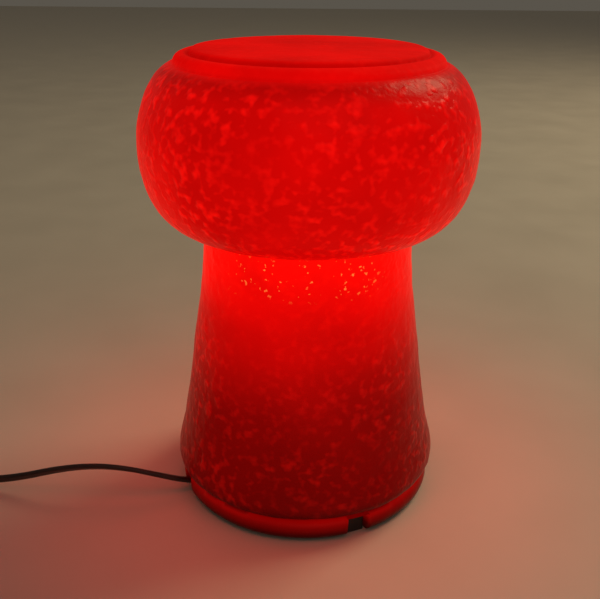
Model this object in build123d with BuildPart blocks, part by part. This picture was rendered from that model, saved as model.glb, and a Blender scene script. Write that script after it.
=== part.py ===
"""A table lamp in the shape of a champagne cork, with its base, lampholder, bulb and mains lead.

Millimetres, +Z up, origin on the table under the middle of the lamp, -Y towards the front.
The glass stands over a small steel base on rubber feet, and lifts straight off to reach the bulb.
The lead leaves through the rubber foot on the left, by way of a switch, a coil and a plug.
"""
from build123d import *
import math
import os

os.makedirs("parts", exist_ok=True)

# The glass, from the top down
lamp_height = 250.0
top_thickness = 5.0
glass_wall = 4.2
disc_radius = 60.6
disc_rise = 2.6
disc_edge = 2.6
disc_edge_bulge = 2.0
disc_edge_drop = 1.0
ledge_radius = 69.3
ledge_height = 5.2
ledge_edge = 4.3
ledge_edge_bulge = 3.4
ledge_edge_drop = 1.5
groove_width = 0.8
groove_depth = 0.6
shoulder_radius = 70.2
head_radius = 88.9
head_height = 92.0
head_widest_drop = 45.6
neck_radius = 56.2
body_radius = 75.5
body_widest = 20.1
body_rounding = 6.0
foot_ring_inset = 2.2
foot_ring_bulge = 5.2
foot_ring_top = 12.6
foot_ring_bottom = 0.5
mouth_inset = 12.0

# How the glass's curves run: shares of the height and radius that they cross
stem_shares = ((0.145, 0.798), (0.471, 0.420), (0.833, 0.078))
head_low_reach = 0.673
head_low_rise = 0.62
head_high_rise = 0.402
head_high_reach = 0.588
head_high_drop = 0.109

# The flex, a flat twin one, drawn as the round tube that it turns within
cord_diameter = 4.9
cord_height = 6.0
cord_angle = 201.5

# The base: a steel plate whose rim sits in four rubber feet, one in each notch of the glass
foot_steps = (0, 92.5, 180, 270)
foot_width = 11.0
foot_height = 9.2
foot_reach_in = 7.5
foot_recess = 5.3
foot_corner = 1.2
notch_clearance = 0.5
notch_step = 2.5
notch_outer_height = 13.0
mouth_clearance = 2.0
plate_thickness = 1.2
plate_height = 1.2

# The bridge that carries the lampholder
bridge_gap = 24.0
bridge_sheet = 1.5
bridge_width = 20.0
bridge_foot = 11.0
bridge_height = 22.0
bridge_bend = 2.5
base_screw_radius = 2.0
base_screw_head = 3.6
base_screw_head_height = 2.4

# The cord clamp on the plate
clamp_distance = 40.0
clamp_length = 8.0
clamp_width = 26.0
clamp_roof = 2.2
clamp_screw_radius = 1.5
clamp_screw_head = 2.8
clamp_screw_spacing = 16.0
sheath_end = 30.0

# The lampholder and its threaded tube
nipple_radius = 4.9
nipple_bore = 3.7
nipple_drop = 4.5
nut_flats = 14.0
nut_height = 3.0
holder_radius = 20.0
holder_neck_radius = 14.0
holder_height = 42.5
holder_floor = 4.0
chamber_radius = 10.5
chamber_height = 11.5
socket_depth = 23.0
shell_sheet = 0.35
shell_clearance = 0.15
thread_pitch = 3.6
thread_depth = 0.6
shell_turns = 5
cap_turns = 4
terminal_spacing = 12.0
terminal_radius = 1.5

# The bulb
bulb_radius = 30.0
bulb_height = 103.0
bulb_glass_wall = 0.8
bulb_neck_radius = 12.0
bulb_neck_rise = 20.0
bulb_shoulder_drop = 22.0
bulb_foot_rise = 12.0
bulb_stem_drop = 52.0
bulb_stem_radius = 2.4
bulb_flare_radius = 5.5
bulb_flare_height = 5.0
bulb_press_radius = 4.0
bulb_press_height = 12.0
bulb_press_hold = 14.0
cap_sheet = 0.4
cap_skirt = 5.0
insulator_height = 4.5
tongue_rise = 1.9
cap_clearance = 0.35
contact_gap = 0.2
filament_radius = 11.0
filament_wire = 0.6

# Wires inside the base
wire_radius = 0.9

# Fits
loose_fit = 0.1
screw_fit = 0.05
pin_fit = 0.05

# The switch in the lead
switch_length = 58.0
switch_width = 26.0
switch_height = 17.0
switch_split = 6.0
switch_corner = 7.0
switch_wall = 2.2
switch_taper = 8.0
switch_cavity = 40.0
rocker_length = 16.6
rocker_width = 10.4
rocker_rise = 5.6
rocker_dip = 4.6
rocker_skirt = 2.5
rocker_tilt = 8.0
rocker_clearance = 0.4
rocker_pivot_depth = 4.5
rocker_pin_radius = 1.25
cheek_thickness = 1.8
cheek_length = 6.0
switch_screw_radius = 1.4
switch_screw_head = 2.7

# The plug
plug_width = 35.0
plug_rear_width = 24.0
plug_length = 36.0
plug_height = 13.7
plug_tail_length = 20.0
plug_pin_radius = 2.0
plug_pin_length = 19.0
plug_pin_spacing = 18.6
plug_sleeve_length = 10.0
plug_sleeve_radius = 1.9

# The coil: four layers that spiral in and out again
coil_turns_each = 2.125
coil_layers = 4
coil_middle_radius = 29.4
coil_pitch = cord_diameter + 0.5
coil_steps = 9
coil_base = 1.0
tie_thickness = 0.7
tie_width = 8.0
tie_clearance = 0.3

# The route of the lead on the table, outside the coil, as points chosen by hand
straight_exit = 8.0
lead_to_switch = [
    (-87.5, -31.6, 12.2),
    (-103.0, -32.2, 18.0),
    (-121.5, -31.6, 19.6),
    (-142.0, -30.7, 17.4),
    (-165.0, -28.6, 10.0),
    (-184.0, -27.4, 6.0),
    (-201.0, -27.4, 6.0),
]
lead_to_coil = [
    (-259.0, -27.4, 6.0),
    (-270.5, -27.4, 6.0),
    (-287.0, -27.4, 3.45),
]
coil_centre_x = -304.0
tail_x = (-288.0, -272.0, -257.5, -247.0)
tail_sideways = (0.0, -1.2, 0.0, 0.0)
plug_cord_height = 7.0

# Worked out from the above
ledge_top = lamp_height - disc_rise
ledge_foot = ledge_top - ledge_height
head_bottom = lamp_height - head_height
head_widest = lamp_height - head_widest_drop
foot_ring_radius = body_radius - foot_ring_inset
mouth_radius = body_radius - mouth_inset
foot_inner_radius = mouth_radius - foot_reach_in
notch_step_radius = mouth_radius + notch_step
cord_radius = cord_diameter / 2
ring_crown_radius = foot_ring_radius - foot_ring_bulge
foot_outer_radius = foot_ring_radius - foot_recess
plate_radius = mouth_radius - mouth_clearance
plate_top = plate_height + plate_thickness
holder_bottom = bridge_height + bridge_sheet
holder_top = holder_bottom + holder_height
socket_floor = holder_top - socket_depth
shell_radius = bulb_neck_radius + cap_sheet + loose_fit + thread_depth + cap_clearance
socket_radius = shell_radius + thread_depth + shell_sheet + shell_clearance
cap_root_radius = bulb_neck_radius + cap_sheet + loose_fit
tongue_top = socket_floor + tongue_rise
bulb_bottom = tongue_top + contact_gap
bulb_top = bulb_bottom + bulb_height
cap_bottom = bulb_bottom + insulator_height
cap_top = cap_bottom + cap_turns * thread_pitch + cap_skirt
switch_front = lead_to_switch[-1]
switch_x = switch_front[0] - switch_length / 2
switch_y = switch_front[1]
coil_swing = coil_pitch * coil_turns_each / 2
coil_outer_radius = coil_middle_radius + coil_swing
coil_inner_radius = coil_middle_radius - coil_swing
coil_centre_y = lead_to_coil[-1][1] - coil_outer_radius
coil_first_height = coil_base + cord_radius
coil_last_height = coil_first_height + (coil_layers - 1) * coil_pitch
tail_y = coil_centre_y - coil_outer_radius
tail_heights = (coil_last_height, (coil_last_height + plug_cord_height) / 2, plug_cord_height, plug_cord_height)
tail_to_plug = [(x, tail_y + aside, z) for x, aside, z in zip(tail_x, tail_sideways, tail_heights)]


def radial_plane(angle, height=0.0):
    """A level plane whose X runs outwards from the lamp's axis at an angle."""
    turn = math.radians(angle)
    return Plane(origin=(0, 0, height), x_dir=(math.cos(turn), math.sin(turn), 0), z_dir=(0, 0, 1))


def outward_plane(angle, distance, height):
    """An upright plane that faces outwards, at a distance from the lamp's axis."""
    turn = math.radians(angle)
    away = Vector(math.cos(turn), math.sin(turn), 0)
    return Plane(origin=away * distance + Vector(0, 0, height), z_dir=away)


def base_plane(height):
    """A level plane turned with the cord, which comes in along its -X side."""
    return radial_plane(cord_angle - 180, height)


def save(builder, name):
    """Label a finished piece and write it."""
    builder.part.label = name
    export_step(builder.part, f"parts/{name}.step")


def corner_radii(points):
    """The largest easy arc at each corner of a route: 0.45 of the shorter run on each side."""
    radii = []
    for before, corner, after in zip(points, points[1:], points[2:]):
        run_in = Vector(*corner) - Vector(*before)
        run_out = Vector(*after) - Vector(*corner)
        half_turn = math.radians(run_in.get_angle(run_out)) / 2
        radii.append(0.45 * min(run_in.length, run_out.length) / math.tan(half_turn))
    return radii


def tube_along(points, radius):
    """A round tube on straight runs joined by tangent arcs, and the length of its route."""
    start = Vector(*points[0])
    with BuildPart() as tube:
        with BuildLine() as route:
            FilletPolyline(*points, radius=corner_radii(points))
        with BuildSketch(Plane(origin=start, z_dir=Vector(*points[1]) - start)):
            Circle(radius)
        sweep(path=route.wire())
    return tube, route.wire().length


def cord_piece(points, name):
    """One free stretch of the lead, with its arcs and its volume printed as a test."""
    tube, length = tube_along(points, cord_radius)
    radii = ", ".join(f"{radius:.0f}" for radius in corner_radii(points))
    share = tube.part.volume / (math.pi * cord_radius**2 * length)
    print(f"{name}: length {length:.1f}, arc radii {radii}, volume over section times length {share:.4f}")
    save(tube, name)
    return length


def stem_line(inset, bottom, top):
    """The tapering side of the stem, drawn in by a wall."""
    points = [(body_radius - inset, bottom)]
    for up, out in stem_shares:
        height = body_widest + up * (head_bottom - body_widest)
        points.append((neck_radius + out * (body_radius - neck_radius) - inset, height))
    points.append((neck_radius - inset, top))
    Spline(*points, tangents=((0, 1), (0, 1)))


def head_lines(inset, start, end):
    """The two quarters of the head's round side, from the neck up to the shoulder."""
    widest = (head_radius - inset, head_widest)
    low_reach = head_low_reach * (widest[0] - start[0])
    low_rise = head_low_rise * (head_widest - start[1])
    high_rise = head_high_rise * (end[1] - head_widest)
    high_reach = head_high_reach * (widest[0] - end[0])
    high_drop = head_high_drop * (end[1] - head_widest)
    Bezier(start, (start[0] + low_reach, start[1]), (widest[0], head_widest - low_rise), widest)
    Bezier(widest, (widest[0], head_widest + high_rise), (end[0] + high_reach, end[1] - high_drop), end)


def glass_outside():
    """Half of the outside of the glass, as a closed outline against the axis."""
    ring_middle = (foot_ring_top + foot_ring_bottom) / 2
    rounding_radius = body_radius - body_rounding
    rounding_side = body_rounding * math.sqrt(0.5)
    stem_foot = (rounding_radius, body_widest - body_rounding)
    shoulder = (shoulder_radius, ledge_foot + groove_depth)
    ledge_start = (ledge_radius, ledge_foot)
    ledge_middle = (ledge_radius - ledge_edge + ledge_edge_bulge, ledge_top - ledge_edge_drop)
    ledge_end = (ledge_radius - ledge_edge, ledge_top)
    groove_start = (disc_radius + groove_width, ledge_top)
    disc_start = (disc_radius, ledge_top - groove_depth)
    disc_middle = (disc_radius - disc_edge + disc_edge_bulge, lamp_height - disc_edge_drop)
    disc_end = (disc_radius - disc_edge, lamp_height)
    Line((0, foot_ring_bottom), (ring_crown_radius, foot_ring_bottom))
    ThreePointArc(
        (ring_crown_radius, foot_ring_bottom),
        (foot_ring_radius, ring_middle),
        (ring_crown_radius, foot_ring_top),
    )
    Line((ring_crown_radius, foot_ring_top), stem_foot)
    ThreePointArc(
        stem_foot,
        (rounding_radius + rounding_side, body_widest - rounding_side),
        (body_radius, body_widest),
    )
    stem_line(0, body_widest, head_bottom)
    head_lines(0, (neck_radius, head_bottom), shoulder)
    Line(shoulder, ledge_start)
    ThreePointArc(ledge_start, ledge_middle, ledge_end)
    Line(ledge_end, groove_start)
    Line(groove_start, disc_start)
    ThreePointArc(disc_start, disc_middle, disc_end)
    Line(disc_end, (0, lamp_height))
    Line((0, lamp_height), (0, foot_ring_bottom))


def glass_inside():
    """Half of the hollow of the glass, open below the foot ring."""
    roof = lamp_height - top_thickness
    mouth_top = body_widest - body_rounding - 0.6
    stem_start = body_widest + 2
    neck = (neck_radius - glass_wall, head_bottom + glass_wall)
    shoulder = (ledge_radius - glass_wall, roof - glass_wall)
    Line((0, -1), (mouth_radius, -1))
    Line((mouth_radius, -1), (mouth_radius, mouth_top))
    Line((mouth_radius, mouth_top), (body_radius - glass_wall, stem_start))
    stem_line(glass_wall, stem_start, head_bottom + glass_wall)
    head_lines(glass_wall, neck, shoulder)
    Line(shoulder, (disc_radius - glass_wall, roof))
    Line((disc_radius - glass_wall, roof), (0, roof))
    Line((0, roof), (0, -1))


# The glass, one blown piece with a notch over each rubber foot
with BuildPart() as glass_body:
    with BuildSketch(Plane.XZ):
        with BuildLine():
            glass_outside()
        make_face()
    revolve(axis=Axis.Z)
    with BuildSketch(Plane.XZ):
        with BuildLine():
            glass_inside()
        make_face()
    revolve(axis=Axis.Z, mode=Mode.SUBTRACT)
    notch_width = foot_width + 2 * notch_clearance
    notch_end = foot_ring_radius + 4
    for step in foot_steps:
        for notch_start, notch_top in ((foot_inner_radius, foot_height), (notch_step_radius, notch_outer_height)):
            with BuildSketch(radial_plane(cord_angle + step)):
                with Locations(((notch_start + notch_end) / 2, 0)):
                    Rectangle(notch_end - notch_start, notch_width)
            extrude(amount=notch_top, mode=Mode.SUBTRACT)
save(glass_body, "glass_body")


def rubber_blocks(steps):
    """Rubber feet at some of the notches, each slotted for the rim of the plate."""
    with BuildPart() as blocks:
        for step in steps:
            with BuildSketch(radial_plane(cord_angle + step)):
                with Locations(((foot_inner_radius + foot_outer_radius) / 2, 0)):
                    RectangleRounded(foot_outer_radius - foot_inner_radius, foot_width, foot_corner)
            extrude(amount=foot_height)
        with BuildSketch(Plane.XY.offset(plate_height)):
            Circle(plate_radius)
        extrude(amount=plate_thickness, mode=Mode.SUBTRACT)
    return blocks


# Three plain feet, and the fourth with the hole that the flex comes out of
rubber_feet = rubber_blocks(foot_steps[1:])
save(rubber_feet, "rubber_feet")

plain_block = rubber_blocks(foot_steps[:1])
with BuildPart() as cord_foot:
    add(plain_block.part)
    with BuildSketch(outward_plane(cord_angle, foot_inner_radius - 1, cord_height)):
        Circle(cord_radius)
    extrude(amount=foot_outer_radius - foot_inner_radius + 2, mode=Mode.SUBTRACT)
save(cord_foot, "cord_foot")

# The steel plate, tapped for the bridge and the cord clamp
bridge_screw_places = [(0, side * (bridge_gap / 2 + bridge_foot - 4)) for side in (-1, 1)]
clamp_screw_places = [(-clamp_distance, side * clamp_screw_spacing / 2) for side in (-1, 1)]
with BuildPart() as base_plate:
    with BuildSketch(base_plane(plate_height)):
        Circle(plate_radius)
        with Locations(*bridge_screw_places):
            Circle(base_screw_radius + screw_fit, mode=Mode.SUBTRACT)
        with Locations(*clamp_screw_places):
            Circle(clamp_screw_radius + screw_fit, mode=Mode.SUBTRACT)
    extrude(amount=plate_thickness)
save(base_plate, "base_plate")

# The bridge, a bent strip with a hole for the threaded tube
with BuildPart() as holder_bridge:
    turn = math.radians(cord_angle - 180)
    across = Plane(
        origin=(0, 0, 0),
        x_dir=(-math.sin(turn), math.cos(turn), 0),
        z_dir=(math.cos(turn), math.sin(turn), 0),
    )
    inner = bridge_gap / 2
    outer = inner + bridge_sheet
    tip = inner + bridge_foot
    with BuildSketch(across) as bridge_side:
        with BuildLine():
            Polyline(
                (-tip, plate_top), (-inner, plate_top), (-inner, bridge_height), (inner, bridge_height),
                (inner, plate_top), (tip, plate_top), (tip, plate_top + bridge_sheet),
                (outer, plate_top + bridge_sheet), (outer, holder_bottom), (-outer, holder_bottom),
                (-outer, plate_top + bridge_sheet), (-tip, plate_top + bridge_sheet), close=True,
            )
        make_face()
        fillet(bridge_side.vertices().group_by(Axis.Y)[-1], bridge_bend)
    extrude(amount=bridge_width / 2, both=True)
    with BuildSketch(base_plane(0)):
        Circle(nipple_radius + loose_fit)
        with Locations(*bridge_screw_places):
            Circle(base_screw_radius + loose_fit)
    extrude(amount=holder_bottom + 1, mode=Mode.SUBTRACT)
save(holder_bridge, "holder_bridge")


def slotted_screws(plane, places, thread_radius, grip, head_radius, head_height):
    """Screws that point down from a plane, with slotted heads on it, as a group."""
    with BuildPart() as screws:
        with BuildSketch(plane):
            with Locations(*places):
                Circle(head_radius)
        extrude(amount=head_height, taper=12)
        with BuildSketch(plane):
            with Locations(*places):
                Circle(thread_radius)
        extrude(amount=-grip)
        with BuildSketch(plane.offset(head_height)):
            with Locations(*places):
                Rectangle(3 * head_radius, 0.3 * head_radius)
        extrude(amount=-0.4 * head_height, mode=Mode.SUBTRACT)
    return screws


bridge_screws = slotted_screws(
    base_plane(plate_top + bridge_sheet), bridge_screw_places, base_screw_radius,
    bridge_sheet + plate_thickness, base_screw_head, base_screw_head_height,
)
save(bridge_screws, "bridge_screws")

# The clamp that takes the pull of the lead
clamp_top = cord_height + cord_radius + clamp_roof
with BuildPart() as cord_clamp:
    with BuildSketch(base_plane(plate_top)):
        with Locations((-clamp_distance, 0)):
            RectangleRounded(clamp_length, clamp_width, 1.5)
    extrude(amount=clamp_top - plate_top)
    fillet(cord_clamp.edges().group_by(Axis.Z)[-1], 1.0)
    with BuildSketch(base_plane(0)):
        with Locations(*clamp_screw_places):
            Circle(clamp_screw_radius + loose_fit)
    extrude(amount=clamp_top + 1, mode=Mode.SUBTRACT)
    with BuildSketch(outward_plane(cord_angle, clamp_distance - clamp_length, cord_height)):
        Circle(cord_radius + loose_fit)
    extrude(amount=2 * clamp_length, mode=Mode.SUBTRACT)
save(cord_clamp, "cord_clamp")

clamp_screws = slotted_screws(
    base_plane(clamp_top), clamp_screw_places, clamp_screw_radius,
    clamp_top - plate_height, clamp_screw_head, 1.8,
)
save(clamp_screws, "clamp_screws")

# The flex inside the base, from the cut end of its sheath to the outer face of the foot
with BuildPart() as inner_cord:
    with BuildSketch(outward_plane(cord_angle, sheath_end, cord_height)):
        Circle(cord_radius)
    extrude(amount=foot_outer_radius - sheath_end)
save(inner_cord, "inner_cord")

# The threaded tube and its nut under the bridge
with BuildPart() as threaded_tube:
    with BuildSketch(Plane.XY.offset(bridge_height - nipple_drop)):
        Circle(nipple_radius)
        Circle(nipple_bore, mode=Mode.SUBTRACT)
    extrude(amount=nipple_drop + bridge_sheet + holder_floor)
save(threaded_tube, "threaded_tube")

with BuildPart() as tube_nut:
    with BuildSketch(base_plane(bridge_height - nut_height)):
        RegularPolygon(nut_flats / 2, 6, major_radius=False)
        Circle(nipple_radius + screw_fit, mode=Mode.SUBTRACT)
    extrude(amount=nut_height)
save(tube_nut, "tube_nut")

# The lampholder: a ceramic body with a terminal chamber below and a socket above
terminal_places = [(0, side * terminal_spacing / 2) for side in (-1, 1)]
with BuildPart() as holder_body:
    with BuildSketch(Plane.XZ):
        with BuildLine():
            Polyline(
                (0, holder_bottom), (holder_neck_radius, holder_bottom),
                (holder_neck_radius, holder_bottom + 10), (holder_radius, holder_bottom + 15),
                (holder_radius, holder_top - 1.5), (holder_radius - 1.5, holder_top), (0, holder_top),
                close=True,
            )
        make_face()
    revolve(axis=Axis.Z)
    with BuildSketch(Plane.XY.offset(socket_floor)):
        Circle(socket_radius)
    extrude(amount=socket_depth, mode=Mode.SUBTRACT)
    with BuildSketch(Plane.XY.offset(holder_bottom + holder_floor)):
        Circle(chamber_radius)
    extrude(amount=chamber_height, mode=Mode.SUBTRACT)
    with BuildSketch(Plane.XY.offset(holder_bottom)):
        Circle(nipple_radius + screw_fit)
    extrude(amount=holder_floor, mode=Mode.SUBTRACT)
    with BuildSketch(base_plane(holder_bottom + holder_floor + chamber_height)):
        with Locations(*terminal_places):
            Circle(terminal_radius + screw_fit)
    extrude(amount=holder_height - socket_depth - holder_floor - chamber_height, mode=Mode.SUBTRACT)
save(holder_body, "holder_body")

terminal_grip = socket_floor - (holder_bottom + holder_floor + chamber_height) + 3
terminal_screws = slotted_screws(
    base_plane(socket_floor), terminal_places, terminal_radius, terminal_grip, 2.4, 1.0,
)
save(terminal_screws, "terminal_screws")

# The springy tongue that meets the tip of the bulb
with BuildPart() as centre_contact:
    with BuildSketch(base_plane(socket_floor)):
        Rectangle(14, 5)
    extrude(amount=0.6)
    with BuildSketch(base_plane(socket_floor + 0.6)):
        Rectangle(9, 4.6)
    extrude(amount=tongue_top - socket_floor - 0.6, taper=40)
save(centre_contact, "centre_contact")


def thread_ridges(radius, bottom, turns):
    """The round ridges of a lamp thread, drawn upwards as one arc for each turn."""
    for turn_number in range(turns):
        low = bottom + turn_number * thread_pitch
        ThreePointArc(
            (radius, low), (radius + thread_depth, low + thread_pitch / 2), (radius, low + thread_pitch)
        )


# The screw shell of the lampholder
shell_bottom = socket_floor + 2.0
shell_top = shell_bottom + shell_turns * thread_pitch
with BuildPart() as screw_shell:
    with BuildSketch(Plane.XZ):
        with BuildLine():
            thread_ridges(shell_radius, shell_bottom, shell_turns)
            Line((shell_radius, shell_top), (shell_radius + shell_sheet, shell_top))
            thread_ridges(shell_radius + shell_sheet, shell_bottom, shell_turns)
            Line((shell_radius, shell_bottom), (shell_radius + shell_sheet, shell_bottom))
        make_face()
    revolve(axis=Axis.Z)
save(screw_shell, "screw_shell")

# The two wires, from the cut sheath up through the threaded tube to the terminals
wire_points = [
    (-sheath_end, 1.25, cord_height),
    (-17.0, 1.25, cord_height),
    (-4.0, 1.4, 11.0),
    (0.0, 1.6, bridge_height - nipple_drop + 2),
    (0.0, 1.6, holder_bottom + holder_floor + 2),
    (0.0, terminal_spacing / 2, socket_floor - terminal_grip - 3),
    (0.0, terminal_spacing / 2, socket_floor - terminal_grip),
]
for side, wire_name in ((1, "live_wire"), (-1, "neutral_wire")):
    corners = [base_plane(0).from_local_coords((x, side * y, z)) for x, y, z in wire_points]
    wire, wire_length = tube_along([tuple(corner) for corner in corners], wire_radius)
    save(wire, wire_name)

# The bulb: screw cap, insulator, tip, glass, stem, leads and filament
with BuildPart() as bulb_cap:
    skirt = cap_bottom + cap_turns * thread_pitch
    with BuildSketch(Plane.XZ):
        with BuildLine():
            thread_ridges(cap_root_radius, cap_bottom, cap_turns)
            Polyline(
                (cap_root_radius, skirt), (cap_root_radius + 0.5, skirt + 1.2),
                (cap_root_radius + 0.5, cap_top), (cap_root_radius - cap_sheet, cap_top),
                (cap_root_radius - cap_sheet, cap_bottom), (cap_root_radius, cap_bottom),
            )
        make_face()
    revolve(axis=Axis.Z)
save(bulb_cap, "bulb_cap")

tip_height = 1.6
with BuildPart() as bulb_insulator:
    with BuildSketch(Plane.XZ):
        with BuildLine():
            Polyline(
                (0, bulb_bottom + tip_height), (5.5, bulb_bottom + tip_height),
                (cap_root_radius - 1, cap_bottom - 0.3), (cap_root_radius, cap_bottom - 0.3),
                (cap_root_radius, cap_bottom), (0, cap_bottom), close=True,
            )
        make_face()
    revolve(axis=Axis.Z)
save(bulb_insulator, "bulb_insulator")

with BuildPart() as bulb_tip:
    with BuildSketch(Plane.XZ):
        with BuildLine():
            ThreePointArc((0, bulb_bottom), (3.2, bulb_bottom + 0.5), (4.5, bulb_bottom + tip_height))
            Polyline((4.5, bulb_bottom + tip_height), (0, bulb_bottom + tip_height), (0, bulb_bottom))
        make_face()
    revolve(axis=Axis.Z)
save(bulb_tip, "bulb_tip")

glass_foot = cap_bottom + bulb_foot_rise


def bulb_outline(inset):
    """Half of the bulb's glass, drawn in by its wall and open at the foot."""
    side = bulb_radius - inset
    middle = bulb_top - bulb_radius
    neck = bulb_neck_radius - inset
    diagonal = side * math.sqrt(0.5)
    Line((0, glass_foot), (neck, glass_foot))
    Line((neck, glass_foot), (neck, cap_top + 2))
    Bezier(
        (neck, cap_top + 2), (neck, cap_top + bulb_neck_rise), (side, middle - bulb_shoulder_drop), (side, middle)
    )
    ThreePointArc((side, middle), (diagonal, middle + diagonal), (0, middle + side))
    Line((0, middle + side), (0, glass_foot))


with BuildPart() as bulb_glass:
    with BuildSketch(Plane.XZ):
        with BuildLine():
            bulb_outline(0)
        make_face()
        with BuildLine():
            bulb_outline(bulb_glass_wall)
        make_face(mode=Mode.SUBTRACT)
    revolve(axis=Axis.Z)
save(bulb_glass, "bulb_glass")

stem_top = bulb_top - bulb_stem_drop
with BuildPart() as bulb_stem:
    flare_radius = bulb_neck_radius - bulb_glass_wall - 0.05
    with BuildSketch(Plane.XZ):
        with BuildLine():
            rim = (flare_radius, glass_foot + 1.2)
            press = (bulb_press_radius, glass_foot + bulb_press_height)
            Polyline((0, glass_foot), (flare_radius, glass_foot), rim)
            ThreePointArc(rim, (bulb_flare_radius, glass_foot + bulb_flare_height), press)
            Polyline(press, (bulb_stem_radius, stem_top), (0, stem_top), (0, glass_foot))
        make_face()
    revolve(axis=Axis.Z)
save(bulb_stem, "bulb_stem")

filament_height = bulb_top - bulb_radius + 2
filament_gap = 70.0
with BuildPart() as filament:
    with BuildLine(Plane.XY.offset(filament_height)) as loop:
        CenterArc((0, 0), filament_radius, 90 + filament_gap / 2, 360 - filament_gap)
    with BuildSketch(Plane(origin=loop.line @ 0, z_dir=loop.line % 0)):
        Circle(filament_wire)
    sweep(path=loop.wire())
save(filament, "filament")

with BuildPart() as filament_leads:
    gap_end = math.radians(90 - filament_gap / 2)
    lead_x = filament_radius * math.cos(gap_end)
    lead_y = filament_radius * math.sin(gap_end)
    for side in (-1, 1):
        top = Vector(side * lead_x, lead_y, filament_height - filament_wire)
        foot = Vector(side * 1.4, 0, stem_top - 1.5)
        with BuildSketch(Plane(origin=foot, z_dir=top - foot)):
            Circle(0.35)
        extrude(amount=(top - foot).length)
    with BuildSketch(Plane.XY.offset(glass_foot + bulb_press_hold)):
        Circle(bulb_stem_radius - 0.2)
    extrude(amount=stem_top - glass_foot - bulb_press_hold, mode=Mode.SUBTRACT)
save(filament_leads, "filament_leads")


def switch_plane(height):
    """A level plane centred on the switch."""
    return Plane.XY.offset(height).move(Location((switch_x, switch_y, 0)))


# The switch in the lead: two half shells, a rocker on a pin, two contacts and two screws
switch_screw_places = [(side * (switch_cavity / 2 + 4.5), 0) for side in (-1, 1)]
cavity_width = switch_width - 2 * switch_wall - 2 * math.tan(math.radians(switch_taper)) * 4
with BuildPart() as switch_base:
    with BuildSketch(switch_plane(0)):
        RectangleRounded(switch_length, switch_width, switch_corner)
    extrude(amount=switch_split)
    fillet(switch_base.edges().group_by(Axis.Z)[0], 1.0)
    with BuildSketch(switch_plane(switch_wall)):
        RectangleRounded(switch_cavity, cavity_width, 2)
    extrude(amount=switch_split, mode=Mode.SUBTRACT)
    with BuildSketch(switch_plane(0)):
        with Locations(*switch_screw_places):
            Circle(switch_screw_radius + loose_fit)
    extrude(amount=switch_split, mode=Mode.SUBTRACT)
    with BuildSketch(switch_plane(0)):
        with Locations(*switch_screw_places):
            Circle(switch_screw_head + loose_fit)
    extrude(amount=switch_wall, mode=Mode.SUBTRACT)
save(switch_base, "switch_base")

pivot_height = switch_height - rocker_pivot_depth
window_length = rocker_length + 2 * rocker_clearance + 2 * (rocker_rise * math.sin(math.radians(rocker_tilt)))
window_width = rocker_width + 2 * rocker_clearance
with BuildPart() as switch_cover:
    with BuildSketch(switch_plane(switch_split)):
        RectangleRounded(switch_length, switch_width, switch_corner)
    extrude(amount=switch_height - switch_split, taper=switch_taper)
    fillet(switch_cover.edges().group_by(Axis.Z)[-1], 2.0)
    with BuildSketch(switch_plane(switch_split)):
        RectangleRounded(switch_cavity, cavity_width, 2)
    extrude(amount=switch_height - switch_split - switch_wall, mode=Mode.SUBTRACT)
    cheek_place = window_width / 2 + cheek_thickness / 2
    with BuildSketch(switch_plane(pivot_height - 3)):
        with Locations((0, -cheek_place), (0, cheek_place)):
            Rectangle(cheek_length, cheek_thickness)
    extrude(amount=switch_height - switch_wall - pivot_height + 3)
    with BuildSketch(switch_plane(switch_split)):
        Rectangle(window_length, window_width)
    extrude(amount=switch_height, mode=Mode.SUBTRACT)
    with BuildSketch(Plane(origin=(switch_x, switch_y, pivot_height), z_dir=(0, 1, 0))):
        Circle(rocker_pin_radius + pin_fit)
    extrude(amount=cheek_place + cheek_thickness / 2, both=True, mode=Mode.SUBTRACT)
    with BuildSketch(switch_plane(switch_split)):
        with Locations(*switch_screw_places):
            Circle(switch_screw_radius + screw_fit)
    extrude(amount=switch_height - switch_split - switch_wall, mode=Mode.SUBTRACT)
save(switch_cover, "switch_cover")

with BuildPart() as rocker_pin:
    with BuildSketch(Plane(origin=(switch_x, switch_y, pivot_height), z_dir=(0, 1, 0))):
        Circle(rocker_pin_radius)
    extrude(amount=window_width / 2 + cheek_thickness, both=True)
save(rocker_pin, "rocker_pin")

# The rocker, pressed down at the lamp's end: the switch is on
with BuildPart() as rocker:
    tilt = math.radians(rocker_tilt)
    half = rocker_length / 2
    rocker_middle = (switch_x, switch_y, pivot_height)
    pressed_down = (math.cos(tilt), 0, -math.sin(tilt))
    with BuildSketch(Plane(origin=rocker_middle, x_dir=pressed_down, z_dir=(0, -1, 0))):
        with BuildLine():
            Polyline(
                (-half, rocker_rise), (0, rocker_dip), (half, rocker_rise), (half, -rocker_skirt * 0.4),
                (half * 0.6, -rocker_skirt), (-half * 0.6, -rocker_skirt), (-half, -rocker_skirt * 0.4),
                close=True,
            )
        make_face()
        Circle(rocker_pin_radius + pin_fit, mode=Mode.SUBTRACT)
    extrude(amount=rocker_width / 2, both=True)
save(rocker, "rocker")

with BuildPart() as switch_contacts:
    with BuildSketch(switch_plane(switch_wall)):
        with Locations((-9, 0), (9, 0)):
            Rectangle(9, 5)
    extrude(amount=1.0)
    with BuildSketch(switch_plane(switch_wall + 1)):
        with Locations((-11, 0), (11, 0)):
            Rectangle(3, 4)
    extrude(amount=switch_split - switch_wall)
save(switch_contacts, "switch_contacts")

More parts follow.
